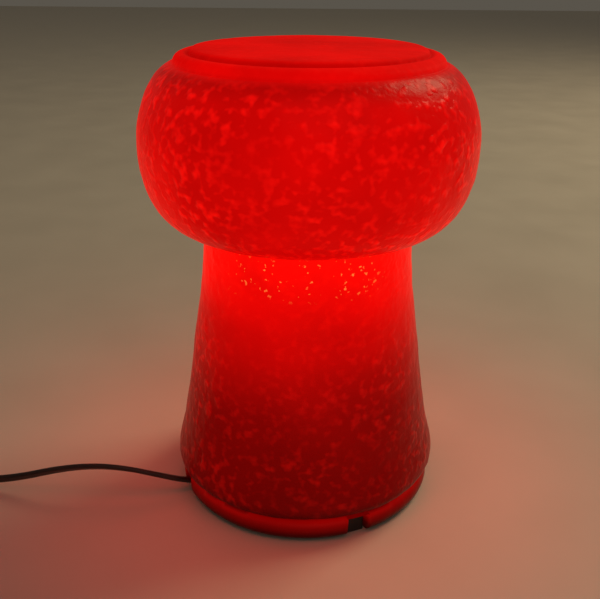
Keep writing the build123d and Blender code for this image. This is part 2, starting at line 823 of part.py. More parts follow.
with BuildPart() as switch_screws:
    with BuildSketch(switch_plane(0.4)):
        with Locations(*switch_screw_places):
            Circle(switch_screw_head)
    extrude(amount=switch_wall - 0.4)
    with BuildSketch(switch_plane(switch_wall)):
        with Locations(*switch_screw_places):
            Circle(switch_screw_radius)
    extrude(amount=switch_height - 2.5 * switch_wall)
    with BuildSketch(switch_plane(0.4)):
        with Locations(*switch_screw_places):
            Rectangle(2.4 * switch_screw_head, 0.8)
    extrude(amount=0.7, mode=Mode.SUBTRACT)
save(switch_screws, "switch_screws")

# The free lead as far as the coil
cord_exit = outward_plane(cord_angle, foot_outer_radius, cord_height).origin
straight_end = outward_plane(cord_angle, foot_outer_radius + straight_exit, cord_height).origin
coil_start = Vector(coil_centre_x, coil_centre_y + coil_outer_radius, coil_first_height)
stub_start = coil_start + Vector(cord_diameter, 0, 0)
route_out = [tuple(cord_exit), tuple(straight_end)] + lead_to_switch
lead_length = cord_piece(route_out, "cord_to_switch")
lead_length += cord_piece(lead_to_coil + [tuple(stub_start)], "cord_to_coil")


def coil_node(number):
    """Place and direction of the coil's wire at one of its steps."""
    layer, place = divmod(number, coil_steps)
    share = place / coil_steps
    inward = layer % 2 == 0
    radius = coil_outer_radius - 2 * coil_swing * share if inward else coil_inner_radius + 2 * coil_swing * share
    angle = 90 + 360 * coil_turns_each * (layer + share)
    height = coil_first_height + layer * coil_pitch
    drift = (-1 if inward else 1) * coil_pitch / (2 * math.pi)
    climb = 0.0
    at_turn = place == 0
    if at_turn:
        drift = 0.0
    if at_turn and 0 < layer < coil_layers:
        height -= coil_pitch / 2
        climb = 1.5 * coil_pitch / math.radians(2 * 360 * coil_turns_each / coil_steps)
    if at_turn and layer == coil_layers:
        height -= coil_pitch
    turn = math.radians(angle)
    out = Vector(math.cos(turn), math.sin(turn), 0)
    along = Vector(-math.sin(turn), math.cos(turn), 0)
    centre = Vector(coil_centre_x, coil_centre_y, height)
    heading = (along * radius + out * drift + Vector(0, 0, climb)).normalized()
    return centre + out * radius, heading


def biarc(start, start_heading, end, end_heading):
    """Two arcs that leave one place in one direction and reach another in another."""
    chord = end - start
    bend = 1 - start_heading.dot(end_heading)
    pull = chord.dot(start_heading + end_heading)
    reach = (-pull + math.sqrt(pull**2 + 2 * bend * chord.dot(chord))) / (2 * bend)
    first_corner = start + start_heading * reach
    second_corner = end - end_heading * reach
    meeting = (first_corner + second_corner) * 0.5
    TangentArc(start, meeting, tangent=start_heading)
    TangentArc(meeting, end, tangent=second_corner - first_corner)


# The coil, with a straight stub of one diameter at each end
with BuildPart() as cord_coil:
    with BuildLine() as coil_line:
        nodes = [coil_node(number) for number in range(coil_layers * coil_steps + 1)]
        Line(stub_start, nodes[0][0])
        for (place, heading), (next_place, next_heading) in zip(nodes, nodes[1:]):
            biarc(place, heading, next_place, next_heading)
        coil_end = nodes[-1][0]
        stub_end = coil_end + Vector(cord_diameter, 0, 0)
        Line(coil_end, stub_end)
    with BuildSketch(Plane(origin=stub_start, z_dir=(-1, 0, 0))):
        Circle(cord_radius)
    sweep(path=coil_line.wire())
save(cord_coil, "cord_coil")


def least_gap(wire, spacing, apart):
    """The least gap of a wound wire to itself, measured between points along it."""
    count = int(wire.length / spacing)
    marks = [wire @ (number / count) for number in range(count + 1)]
    skip = int(apart / spacing)
    closest = min(
        (marks[first] - marks[second]).length
        for first in range(0, len(marks), 2)
        for second in range(first + skip, len(marks))
        if abs(marks[first].Z - marks[second].Z) < 2 * coil_pitch
    )
    return closest - cord_diameter


coil_length = coil_line.wire().length
coil_share = cord_coil.part.volume / (math.pi * cord_radius**2 * coil_length)
coil_gap = least_gap(coil_line.wire(), 4.0, coil_middle_radius * 2)
print(f"cord_coil: length {coil_length:.1f}, least gap to itself {coil_gap:.2f}, volume share {coil_share:.4f}")

# The tie round the coil's bundle, on the side towards the lamp
tie_bottom = coil_base - tie_clearance
tie_top = coil_last_height + cord_radius + tie_clearance
tie_inside = 2 * coil_swing + cord_diameter + coil_pitch / 2 + 2 * tie_clearance
with BuildPart() as coil_tie:
    tie_middle = Vector(coil_centre_x + coil_middle_radius, coil_centre_y, (tie_bottom + tie_top) / 2)
    with BuildSketch(Plane(origin=tie_middle, x_dir=(1, 0, 0), z_dir=(0, -1, 0))):
        RectangleRounded(tie_inside + 2 * tie_thickness, tie_top - tie_bottom + 2 * tie_thickness, 2.0)
        RectangleRounded(tie_inside, tie_top - tie_bottom, 1.3, mode=Mode.SUBTRACT)
    extrude(amount=tie_width / 2, both=True)
save(coil_tie, "coil_tie")

lead_length += coil_length + switch_length
lead_length += cord_piece([tuple(stub_end)] + tail_to_plug, "cord_to_plug")
print(f"the lead from the lamp to the plug: {lead_length:.0f}")

# The plug: a flat moulded body with a tapered tail, two pins and their sleeves
plug_rear = tail_to_plug[-1]
plug_body_x = plug_rear[0] + plug_tail_length
plug_face_x = plug_body_x + plug_length
plug_z = plug_height / 2 + 0.15
with BuildPart() as plug_body:
    with BuildSketch(Plane.XY.offset(plug_z - plug_height / 2)):
        with BuildLine():
            Polyline(
                (plug_body_x, plug_rear[1] - plug_rear_width / 2),
                (plug_body_x + 0.55 * plug_length, plug_rear[1] - plug_width / 2),
                (plug_face_x, plug_rear[1] - plug_width / 2),
                (plug_face_x, plug_rear[1] + plug_width / 2),
                (plug_body_x + 0.55 * plug_length, plug_rear[1] + plug_width / 2),
                (plug_body_x, plug_rear[1] + plug_rear_width / 2),
                close=True,
            )
        make_face()
    extrude(amount=plug_height)
    fillet(plug_body.edges().filter_by(Axis.Z).sort_by(Axis.X)[:4], 4.0)
    fillet(plug_body.edges().group_by(Axis.Z)[-1] + plug_body.edges().group_by(Axis.Z)[0], 2.0)
    with BuildSketch(Plane(origin=plug_rear, z_dir=(1, 0, 0))):
        Circle(cord_radius + 0.6)
    with BuildSketch(Plane(origin=(plug_body_x + 0.5, plug_rear[1], plug_rear[2]), z_dir=(1, 0, 0))):
        Circle(plug_height / 2 - 1)
    loft()
save(plug_body, "plug_body")

pin_places = [(side * plug_pin_spacing / 2, 0) for side in (-1, 1)]
plug_face = Plane(origin=(plug_face_x, plug_rear[1], plug_z), x_dir=(0, 1, 0), z_dir=(1, 0, 0))
with BuildPart() as plug_pins:
    with BuildSketch(plug_face):
        with Locations(*pin_places):
            Circle(plug_sleeve_radius - 0.4)
    extrude(amount=plug_sleeve_length)
    with BuildSketch(plug_face.offset(plug_sleeve_length)):
        with Locations(*pin_places):
            Circle(plug_pin_radius)
    extrude(amount=plug_pin_length - plug_sleeve_length)
    fillet(plug_pins.edges().group_by(Axis.X)[-1], 1.0)
save(plug_pins, "plug_pins")

with BuildPart() as pin_sleeves:
    with BuildSketch(plug_face):
        with Locations(*pin_places):
            Circle(plug_sleeve_radius)
            Circle(plug_sleeve_radius - 0.4, mode=Mode.SUBTRACT)
    extrude(amount=plug_sleeve_length)
save(pin_sleeves, "pin_sleeves")
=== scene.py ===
"""The looks of the cork-shaped glass table lamp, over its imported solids, in metres."""
import bpy
import math
from mathutils import Matrix, Vector, noise


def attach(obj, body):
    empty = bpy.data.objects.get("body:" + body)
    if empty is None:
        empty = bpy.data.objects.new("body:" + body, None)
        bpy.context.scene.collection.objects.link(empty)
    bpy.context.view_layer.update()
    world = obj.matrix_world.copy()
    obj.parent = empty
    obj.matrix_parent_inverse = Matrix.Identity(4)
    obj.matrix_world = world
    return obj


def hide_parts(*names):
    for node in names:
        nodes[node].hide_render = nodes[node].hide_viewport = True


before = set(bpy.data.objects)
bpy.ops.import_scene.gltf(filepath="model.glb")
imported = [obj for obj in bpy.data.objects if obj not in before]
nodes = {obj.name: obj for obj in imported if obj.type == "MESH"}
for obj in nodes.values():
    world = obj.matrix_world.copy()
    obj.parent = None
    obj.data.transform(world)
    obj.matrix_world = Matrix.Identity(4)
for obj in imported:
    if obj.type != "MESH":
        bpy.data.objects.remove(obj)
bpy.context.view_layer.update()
MM = 0.001

# The glass's outline, as in the solids, in millimetres of radius and height
LAMP_HEIGHT = 250.0
TOP_POLE_RADIUS = 2.0
TOP_RADIUS_STEP = 4.0
DISC_EDGE = [(58.0, LAMP_HEIGHT), (60.0, 249.0), (60.6, 246.9)]
LEDGE_EDGE = [(61.4, 247.2), (66.4, 247.2), (69.2, 242.7)]
UNDER_LEDGE = (69.5, 242.3)
HEAD_HIGH = [(88.9, 204.4), (88.9, 219.9), (81.2, 238.6), (70.2, 242.8)]
HEAD_LOW = [(56.2, 158.0), (78.2, 158.0), (88.9, 175.6), (88.9, 204.4)]
STEM_POINTS = [(75.5, 20.1), (71.6, 40.1), (64.3, 85.0), (57.7, 135.0), (56.2, 158.0)]
STEM_ROUNDING = [(75.5, 20.1), (73.742, 15.857), (69.5, 14.1)]
ABOVE_RING = (68.4, 12.9)
FOOT_RING = [(68.1, 12.6), (73.3, 6.55), (68.1, 0.5)]

# The hollow of the glass
GLASS_WALL = 4.2
MOUTH = [(66.0, 0.5), (63.9, 0.5), (63.5, 0.9), (63.5, 5.0), (63.5, 13.5), (67.0, 17.4)]
STEM_INSIDE_START = 22.0
ROOF_HEIGHT = 245.0

# The columns of the glass's mesh, and how far in degrees those at a notch's side stand apart
GLASS_COLUMNS = 288
EDGE_PAIR = 0.12
EDGE_ROOM = 0.5

# The notches over the rubber feet
FOOT_ANGLES = (201.5, 294.0, 21.5, 111.5)
NOTCH_HALF_WIDTH = 6.0
NOTCH_HEIGHT = 9.2
NOTCH_STEP_RADIUS = 66.0
NOTCH_OUTER_HEIGHT = 13.0
FOOT_INNER_RADIUS = 56.0
FOOT_OUTER_RADIUS = 68.0
CORD_ANGLE = math.radians(FOOT_ANGLES[0])

# The cast surface's waves, knobs and pits: height, size and shift of the noise
CASTING = ((0.55, 38.0, (0, 0, 0)), (0.30, 9.0, (7, 3, 1)), (0.14, 3.6, (1, 9, 4)))

# Where the casting is smoother: the foot, the ledge and disc, and the middle of the top
FOOT_TOP = 14.0
STEM_TOP = 241.0
FLAT_TOP_START = 246.0
POLE_RADIUS = 8.0
TOP_SHARE = 0.25
FOOT_AND_POLE_SHARE = 0.4

# The heights of the foot ring's top edge
RING_EDGE = (9.0, 13.0)

# Lumps on the foot ring's top edge: middle and half width in degrees, and rise
RING_LUMPS = ((223.0, 5.0, 1.6), (238.0, 7.5, 2.0), (305.0, 8.0, 1.6), (72.0, 9.0, 1.2), (150.0, 6.0, 1.5))

# The flat flex and its route in millimetres, as in the solids, but raised near the lamp as photographed
FLEX_WIDTH = 4.9
FLEX_THICKNESS = 2.9
CORE_STEPS = 9
CORE_FIRST_DEGREES = -112
CORE_STEP_DEGREES = 28
LAMP_FLEX_TWIST = 9.0
LAMP_FLEX_TURN = 0.2
CORD_EXIT = (FOOT_OUTER_RADIUS * math.cos(CORD_ANGLE), FOOT_OUTER_RADIUS * math.sin(CORD_ANGLE), 6.0)
STRAIGHT_END = (76.0 * math.cos(CORD_ANGLE), 76.0 * math.sin(CORD_ANGLE), 8.0)
LEAD_TO_SWITCH = [
    (-87.5, -31.6, 14.6),
    (-103.0, -32.2, 18.6),
    (-121.5, -31.6, 19.6),
    (-142.0, -30.7, 16.6),
    (-165.0, -28.6, 9.4),
    (-184.0, -27.4, 6.0),
    (-201.0, -27.4, 6.0),
]
LEAD_TO_COIL = [(-259.0, -27.4, 6.0), (-270.5, -27.4, 6.0), (-287.0, -27.4, 3.45)]
TAIL_X = (-288.0, -272.0, -257.5, -247.0)
TAIL_SIDEWAYS = (0.0, -1.2, 0.0, 0.0)
TAIL_HEIGHTS = (19.65, 13.325, 7.0, 7.0)
COIL_CENTRE = (-304.0, -62.5375)
COIL_MIDDLE_RADIUS = 29.4
COIL_PITCH = 5.4
COIL_LAYERS = 4
COIL_TURNS_EACH = 2.125
COIL_POINTS_EACH = 36
COIL_FIRST_HEIGHT = 3.45
CLIMB_HALF_STEP = 1 / 9


# Node materials

def new_material(name):
    """A material with its nodes on, and its Principled shader."""
    material = bpy.data.materials.new(name)
    material.use_nodes = True
    return material, material.node_tree.nodes["Principled BSDF"]


def add_node(material, kind, **settings):
    """One shader node, with sockets given by name and properties by attribute."""
    node = material.node_tree.nodes.new(kind)
    for key, value in settings.items():
        if key in node.inputs:
            node.inputs[key].default_value = value
        else:
            setattr(node, key, value)
    return node


def link(material, source, target):
    """Joins two sockets."""
    material.node_tree.links.new(source, target)


def place_socket(material):
    """Where on the object a point is, in metres."""
    return add_node(material, "ShaderNodeTexCoord").outputs["Object"]


def noise_socket(material, scale, detail=2.0, roughness=0.5, distortion=0.0, stretch=None):
    """Smooth noise over the object, with about scale bumps to the metre."""
    place = place_socket(material)
    if stretch:
        mapping = add_node(material, "ShaderNodeMapping", Scale=stretch)
        link(material, place, mapping.inputs["Vector"])
        place = mapping.outputs["Vector"]
    texture = add_node(
        material, "ShaderNodeTexNoise",
        Scale=scale, Detail=detail, Roughness=roughness, Distortion=distortion,
    )
    link(material, place, texture.inputs["Vector"])
    return texture.outputs["Fac"]


def ramp_socket(material, source, stops):
    """A colour ramp over a socket, from pairs of position and colour or grey."""
    ramp = add_node(material, "ShaderNodeValToRGB")
    elements = ramp.color_ramp.elements
    while len(elements) < len(stops):
        elements.new(0.5)
    for element, (position, colour) in zip(elements, stops):
        element.position = position
        element.color = (colour, colour, colour, 1) if isinstance(colour, (int, float)) else (*colour, 1)
    link(material, source, ramp.inputs["Fac"])
    return ramp.outputs["Color"]


def math_socket(material, operation, first, second):
    """A sum, product or other result of two sockets or numbers."""
    node = add_node(material, "ShaderNodeMath", operation=operation)
    for index, value in enumerate((first, second)):
        if isinstance(value, (int, float)):
            node.inputs[index].default_value = value
        else:
            link(material, value, node.inputs[index])
    return node.outputs[0]


def mix_colours(material, share, first, second, blend="MIX"):
    """Two colours mixed by a share; each may be a socket or a colour."""
    node = add_node(material, "ShaderNodeMix", data_type="RGBA", blend_type=blend)
    for socket, value in zip((node.inputs[0], node.inputs[6], node.inputs[7]), (share, first, second)):
        if isinstance(value, (int, float)):
            socket.default_value = value
        elif isinstance(value, tuple):
            socket.default_value = (*value, 1)
        else:
            link(material, value, socket)
    return node.outputs[2]


def bump(material, shader, height, depth):
    """Raises the surface by a socket's value, depth metres at most."""
    node = add_node(material, "ShaderNodeBump", Strength=1.0, Distance=depth)
    link(material, height, node.inputs["Height"])
    link(material, node.outputs["Normal"], shader.inputs["Normal"])


def surface(name, colour, second, roughness, scale=400.0, metal=0.0, grain=0.0001, spread=0.08):
    """A plain material whose colour and gloss vary a little, with a fine grain."""
    material, shader = new_material(name)
    cloud = noise_socket(material, scale * 0.2, detail=4.0)
    tint = ramp_socket(material, cloud, [(0.3, colour), (0.7, second)])
    link(material, tint, shader.inputs["Base Color"])
    low = max(roughness - spread, 0.02)
    shine = ramp_socket(material, cloud, [(0.3, low), (0.7, roughness + spread)])
    link(material, shine, shader.inputs["Roughness"])
    shader.inputs["Metallic"].default_value = metal
    bump(material, shader, noise_socket(material, scale, detail=3.0), grain)
    return material


# The light that the glass gives off at each share of its height, in linear red, green and blue; its dips
# are painted shade in the groove above the foot ring, on the foot ring towards its underside, under the
# head and under the ledge, and its bright band at the foot ring's rounded top is a painted highlight
GLOW_AND_PAINTED_SHADE_BY_HEIGHT = [
    (0.0, (0.004, 0.0, 0.0)), (0.020, (0.030, 0.0, 0.0)), (0.036, (0.14, 0.0003, 0.0002)),
    (0.046, (0.27, 0.0006, 0.0004)), (0.056, (0.014, 0.0, 0.0)), (0.072, (0.028, 0.0, 0.0)),
    (0.090, (0.085, 0.0001, 0.0001)), (0.20, (0.120, 0.0002, 0.0001)), (0.28, (0.165, 0.0002, 0.0002)),
    (0.37, (0.29, 0.0004, 0.0003)), (0.46, (0.51, 0.0005, 0.0004)), (0.52, (0.79, 0.0008, 0.0005)),
    (0.60, (1.0, 0.0015, 0.0006)), (0.635, (0.98, 0.002, 0.0006)), (0.648, (0.48, 0.0006, 0.0004)),
    (0.70, (0.60, 0.0006, 0.0004)), (0.86, (0.61, 0.0006, 0.0004)), (0.93, (0.60, 0.0006, 0.0004)),
    (0.962, (0.42, 0.0004, 0.0003)), (0.975, (0.74, 0.0006, 0.0004)), (0.990, (0.74, 0.0006, 0.0004)),
    (0.996, (0.66, 0.0008, 0.0005)), (1.0, (0.66, 0.0008, 0.0005)),
]
FLAKE_LIGHT_BY_HEIGHT = [
    (0.0, (0.26, 0.002, 0.001)), (0.20, (0.36, 0.002, 0.001)), (0.34, (0.48, 0.003, 0.002)),
    (0.45, (0.66, 0.002, 0.001)), (0.56, (1.0, 0.003, 0.001)), (0.64, (1.0, 0.004, 0.001)),
    (0.68, (0.90, 0.004, 0.002)), (1.0, (0.92, 0.003, 0.002)),
]
FLAKES_BY_HEIGHT = [
    (0.06, 0.0), (0.09, 0.50), (0.34, 0.60), (0.48, 0.4),
    (0.64, 0.4), (0.68, 0.9), (0.94, 0.9), (0.97, 0.2),
]
# Painted glints: the heights where small bright spots are painted in front under the head, and their colour
PAINTED_GLINTS_BY_HEIGHT = [(0.53, 0.0), (0.56, 0.9), (0.605, 1.0), (0.625, 0.0)]
PAINTED_GLINT_LIGHT = (1.0, 0.20, 0.035)
CLOUD_SHADE = [(0.30, 0.80), (0.70, 1.12)]
TOP_STARTS = [(0.975, 0.0), (0.982, 1.0)]
GROOVE_SHADE = [(0.596, 1.0), (0.608, 0.62), (0.620, 0.66), (0.640, 1.0)]
# Painted shade: the base colour darker towards the foot ring's underside
FOOT_PAINTED_SHADE = [(0.0, 0.15), (0.036, 0.5), (0.046, 1.0)]
GLOSS_BY_HEIGHT = [(0.968, 0.32), (0.985, 0.85)]
DECIMETRES = 10.0
GLASS_RED = (0.10, 0.0006, 0.0005)
FLAKE_RED = (0.22, 0.002, 0.0015)


def groove_shade(material, height, light):
    """Darkens the light in the groove round the top disc, from its distance from the axis."""
    level_place = add_node(material, "ShaderNodeVectorMath", operation="MULTIPLY")
    level_place.inputs[1].default_value = (DECIMETRES, DECIMETRES, 0.0)
    radius = add_node(material, "ShaderNodeVectorMath", operation="LENGTH")
    link(material, place_socket(material), level_place.inputs[0])
    link(material, level_place.outputs[0], radius.inputs[0])
    shade = ramp_socket(material, radius.outputs["Value"], GROOVE_SHADE)
    near_top = ramp_socket(material, height, TOP_STARTS)
    return mix_colours(material, near_top, light, mix_colours(material, 1.0, light, shade, "MULTIPLY"))


def flake_shares(material, height):
    """How much of each place is a flake: soft spots in patches, fewest at the foot and the neck."""
    patches = noise_socket(material, 26.0, detail=2.0, stretch=(1, 1, 1.5))
    spots = noise_socket(material, 225.0, detail=1.0, roughness=0.45, distortion=0.0, stretch=(1, 1, 1.1))
    patchy = math_socket(
        material, "MULTIPLY",
        ramp_socket(material, patches, [(0.34, 0.30), (0.60, 1.0)]),
        ramp_socket(material, spots, [(0.49, 0.0), (0.76, 1.0)]),
    )
    return math_socket(material, "MULTIPLY", patchy, ramp_socket(material, height, FLAKES_BY_HEIGHT))


def painted_glint_shares(material, height, behind):
    """How much of each place is a painted glint: small bright spots, in front and under the head only."""
    painted_glints = ramp_socket(
        material, noise_socket(material, 400.0, detail=2.0, distortion=0.3), [(0.65, 0.0), (0.69, 1.0)]
    )
    banded = math_socket(material, "MULTIPLY", painted_glints, ramp_socket(material, height, PAINTED_GLINTS_BY_HEIGHT))
    ahead = math_socket(material, "MULTIPLY", behind, -DECIMETRES)
    front = ramp_socket(material, ahead, [(0.40, 0.0), (0.50, 1.0)])
    return math_socket(material, "MULTIPLY", banded, front)


def lit_glass():
    """Red cast glass with light flakes in it, lit from inside and brightest at the neck, with painted shade
    in its creases and low on the foot ring, a painted highlight on the foot ring's top, and painted glints
    in front under the head.
    """
    material, shader = new_material("red_glass_lit")
    place = add_node(material, "ShaderNodeSeparateXYZ")
    link(material, place_socket(material), place.inputs[0])
    height = math_socket(material, "MULTIPLY", place.outputs["Z"], 1 / (LAMP_HEIGHT * MM))
    # The glass's glow, with painted shade in its creases and low on the foot ring and a painted highlight
    # on the foot ring's top
    glow = ramp_socket(material, height, GLOW_AND_PAINTED_SHADE_BY_HEIGHT)
    clouds = ramp_socket(material, noise_socket(material, 20.0, detail=3.0), CLOUD_SHADE)
    clouded = mix_colours(material, 1.0, glow, clouds, "MULTIPLY")
    shaded = groove_shade(material, height, clouded)
    flakes = flake_shares(material, height)
    flake_light = ramp_socket(material, height, FLAKE_LIGHT_BY_HEIGHT)
    flaked = mix_colours(material, flakes, shaded, flake_light)
    # Painted glints in front under the head
    painted_glints = painted_glint_shares(material, height, place.outputs["Y"])
    link(material, mix_colours(material, painted_glints, flaked, PAINTED_GLINT_LIGHT), shader.inputs["Emission Color"])
    shader.inputs["Emission Strength"].default_value = 1.0
    body = mix_colours(material, flakes, GLASS_RED, FLAKE_RED)
    # Painted shade darkens the base colour low on the foot ring
    painted_foot_shade = ramp_socket(material, height, FOOT_PAINTED_SHADE)
    link(material, mix_colours(material, 1.0, body, painted_foot_shade, "MULTIPLY"), shader.inputs["Base Color"])
    link(material, ramp_socket(material, height, GLOSS_BY_HEIGHT), shader.inputs["Roughness"])
    shader.inputs["Specular IOR Level"].default_value = 0.08
    dimples = noise_socket(material, 150.0, detail=3.0, roughness=0.55)
    bump(material, shader, math_socket(material, "ADD", dimples, flakes), 0.0005)
    return material


def glowing(name, colour, strength, cloud_scale):
    """A lit surface whose light is a little uneven."""
    material, shader = new_material(name)
    cloud = noise_socket(material, cloud_scale)
    dimmer = tuple(0.86 * part for part in colour)
    light = ramp_socket(material, cloud, [(0.3, dimmer), (0.7, colour)])
    link(material, light, shader.inputs["Emission Color"])
    shader.inputs["Emission Strength"].default_value = strength
    shader.inputs["Base Color"].default_value = (0.9, 0.85, 0.75, 1)
    shader.inputs["Roughness"].default_value = 0.3
    return material


STEEL = surface("zinc_plated_steel", (0.50, 0.51, 0.52), (0.62, 0.61, 0.58), 0.34, 300.0, 1.0, 0.00003)
SCREW = surface("screw_steel", (0.55, 0.55, 0.55), (0.68, 0.68, 0.66), 0.25, 900.0, 1.0, 0.00002)
BRASS = surface("brass", (0.62, 0.44, 0.17), (0.74, 0.55, 0.26), 0.28, 500.0, 1.0, 0.00002)
NICKEL = surface("nickel_cap", (0.62, 0.61, 0.57), (0.75, 0.74, 0.70), 0.25, 500.0, 1.0, 0.00002)
SOLDER = surface("solder", (0.42, 0.42, 0.44), (0.58, 0.58, 0.60), 0.42, 1500.0, 1.0, 0.00005)
RUBBER = surface("black_rubber", (0.010, 0.009, 0.009), (0.022, 0.019, 0.018), 0.62, 900.0, 0.0, 0.00008)
PLASTIC = surface("black_plastic", (0.012, 0.012, 0.013), (0.020, 0.020, 0.021), 0.36, 2200.0, 0.0, 0.00003)
FLEX = surface("flex_sheath", (0.016, 0.009, 0.008), (0.034, 0.019, 0.015), 0.40, 700.0, 0.0, 0.00005)
CERAMIC = surface("white_ceramic", (0.80, 0.78, 0.73), (0.88, 0.87, 0.83), 0.22, 200.0, 0.0, 0.00004)
DARK_GLASS = surface("black_insulator", (0.02, 0.02, 0.024), (0.04, 0.04, 0.05), 0.15, 300.0)
BROWN = surface("brown_insulation", (0.16, 0.06, 0.025), (0.22, 0.09, 0.04), 0.4, 900.0)
BLUE = surface("blue_insulation", (0.02, 0.07, 0.35), (0.04, 0.11, 0.45), 0.4, 900.0)
LIT_GLASS = lit_glass()
LIT_BULB = glowing("bulb_frosted_lit", (1.0, 0.78, 0.48), 5.0, 40.0)
LIT_WIRE = glowing("filament_lit", (1.0, 0.62, 0.25), 14.0, 400.0)

NODE_MATERIALS = {
    "base_plate": STEEL, "holder_bridge": STEEL, "bridge_screws": SCREW, "clamp_screws": SCREW,
    "cord_clamp": PLASTIC, "inner_cord": FLEX, "threaded_tube": BRASS, "tube_nut": BRASS,
    "holder_body": CERAMIC, "terminal_screws": BRASS, "centre_contact": BRASS, "screw_shell": BRASS,
    "live_wire": BROWN, "neutral_wire": BLUE, "bulb_cap": NICKEL, "bulb_insulator": DARK_GLASS,
    "bulb_tip": SOLDER, "bulb_glass": LIT_BULB, "bulb_stem": LIT_BULB, "filament": LIT_WIRE,
    "filament_leads": SCREW, "switch_base": PLASTIC, "switch_cover": PLASTIC, "rocker": PLASTIC,
    "rocker_pin": SCREW, "switch_contacts": BRASS, "switch_screws": SCREW, "coil_tie": PLASTIC,
    "plug_body": PLASTIC, "plug_pins": NICKEL, "pin_sleeves": PLASTIC, "rubber_feet": RUBBER,
    "cord_foot": RUBBER,
}


def paint(piece, material):
    """Gives a piece one material."""
    piece.data.materials.clear()
    piece.data.materials.append(material)


for node_name, node_material in NODE_MATERIALS.items():
    paint(nodes[node_name], node_material)


# The glass

def bezier(points, count):
    """Places along a cubic curve, its ends among them."""
    corners = [Vector(point) for point in points]
    places = []
    for index in range(count + 1):
        share = index / count
        rest = 1 - share
        weights = (rest**3, 3 * rest**2 * share, 3 * rest * share**2, share**3)
        places.append(sum((weight * corner for weight, corner in zip(weights, corners)), Vector((0, 0))))
    return [tuple(place) for place in places]


def arc_through(start, middle, end, count):
    """Places along the circle through three points."""
    (ax, ay), (bx, by), (cx, cy) = start, middle, end
    twice = 2 * (ax * (by - cy) + bx * (cy - ay) + cx * (ay - by))
    squares = [x * x + y * y for x, y in (start, middle, end)]
    ux = (squares[0] * (by - cy) + squares[1] * (cy - ay) + squares[2] * (ay - by)) / twice
    uy = (squares[0] * (cx - bx) + squares[1] * (ax - cx) + squares[2] * (bx - ax)) / twice
    radius = math.hypot(ax - ux, ay - uy)
    first, mid, last = (math.atan2(y - uy, x - ux) for x, y in (start, middle, end))
    turn = math.tau
    onwards = (mid - first) % turn < (last - first) % turn
    sweep = (last - first) % turn if onwards else -((first - last) % turn)
    angles = [first + sweep * index / count for index in range(count + 1)]
    return [(ux + radius * math.cos(angle), uy + radius * math.sin(angle)) for angle in angles]


def smooth_side(points, count):
    """Places along a side that is upright at both ends and smooth between its points."""
    slopes = [0.0]
    for (r0, z0), (r2, z2) in zip(points, points[2:]):
        slopes.append((r2 - r0) / (z2 - z0))
    slopes.append(0.0)
    places = [points[0]]
    for index, ((r0, z0), (r1, z1)) in enumerate(zip(points, points[1:])):
        rise = z1 - z0
        for step in range(1, count + 1):
            t = step / count
            radius = (
                (2 * t**3 - 3 * t**2 + 1) * r0 + (t**3 - 2 * t**2 + t) * rise * slopes[index]
                + (3 * t**2 - 2 * t**3) * r1 + (t**3 - t**2) * rise * slopes[index + 1]
            )
            places.append((radius, z0 + rise * t))
    return places


def outside_outline():
    """The outside of the glass from the middle of the top down to the foot ring's underside."""
    places = [(TOP_POLE_RADIUS + TOP_RADIUS_STEP * step, LAMP_HEIGHT) for step in range(14)]
    places += arc_through(*DISC_EDGE, 5)
    places += arc_through(*LEDGE_EDGE, 8)
    places += [UNDER_LEDGE]
    places += list(reversed(bezier(HEAD_HIGH, 36)))
    places += list(reversed(bezier(HEAD_LOW, 48)))[1:]
    places += list(reversed(smooth_side(STEM_POINTS, 22)))[1:]
    places += arc_through(*STEM_ROUNDING, 8)[1:]
    places += [ABOVE_RING]
    places += arc_through(*FOOT_RING, 14)
    return places


def inside_outline():
    """The inside of the glass from the foot ring's underside up to the middle of its roof."""
    wall = GLASS_WALL
    neck_radius, neck_height = STEM_POINTS[-1]
    head_radius, head_middle = HEAD_LOW[-1]
    neck = (neck_radius - wall, neck_height + wall)
    widest = (head_radius - wall, head_middle)
    places = list(MOUTH)
    side = [(radius - wall, height) for radius, height in smooth_side(STEM_POINTS, 6)]
    places += [place for place in side if place[1] > STEM_INSIDE_START]
    places[-1] = neck
    places += bezier([neck, (75.0, neck[1]), (widest[0], 178.3), widest], 14)[1:]
    places += bezier([widest, (widest[0], 218.9), (76.1, 236.6), (65.1, 240.8)], 12)[1:]
    places += [(radius, ROOF_HEIGHT) for radius in (56.4, 40.0, 20.0, TOP_POLE_RADIUS)]
    return places


def smooth_step(share):
    """Rises smoothly from 0 to 1 as its share does."""
    share = min(max(share, 0.0), 1.0)
    return share * share * (3 - 2 * share)


def hand_made(radius, angle, height):
    """How far, in millimetres, the cast glass stands off its outline at a place."""
    place = Vector((radius * math.cos(angle), radius * math.sin(angle), height))
    return sum(depth * noise.noise(place / size + Vector(shift)) for depth, size, shift in CASTING)


def ring_lump(degrees):
    """How far, in millimetres, the foot ring's top edge stands up in the casting's lumps and runs."""
    lump = 0.0
    for middle, half_width, rise in RING_LUMPS:
        away = abs((degrees - middle + 180) % 360 - 180) / half_width
        lump = max(lump, rise * (1 - smooth_step((away - 0.7) / 0.3)))
    return lump


def notch_half_angle():
    """Half the width of a notch, in degrees as seen from the axis."""
    return math.degrees(math.asin(NOTCH_HALF_WIDTH / FOOT_OUTER_RADIUS))


def glass_angles():
    """The directions of the glass's columns, with a close pair at each side of each notch."""
    angles = {360.0 * index / GLASS_COLUMNS for index in range(GLASS_COLUMNS)}
    sides = {foot + side * notch_half_angle() for foot in FOOT_ANGLES for side in (-1, 1)}
    edges = {side + step for side in sides for step in (-EDGE_PAIR, EDGE_PAIR)}
    kept = {angle for angle in angles if all(abs(angle - edge) > EDGE_ROOM for edge in edges)}
    return sorted(kept | edges)


def in_notch(angle):
    """Whether a column of the glass stands over one of the feet."""
    return any(abs((angle - foot + 180) % 360 - 180) < notch_half_angle() for foot in FOOT_ANGLES)


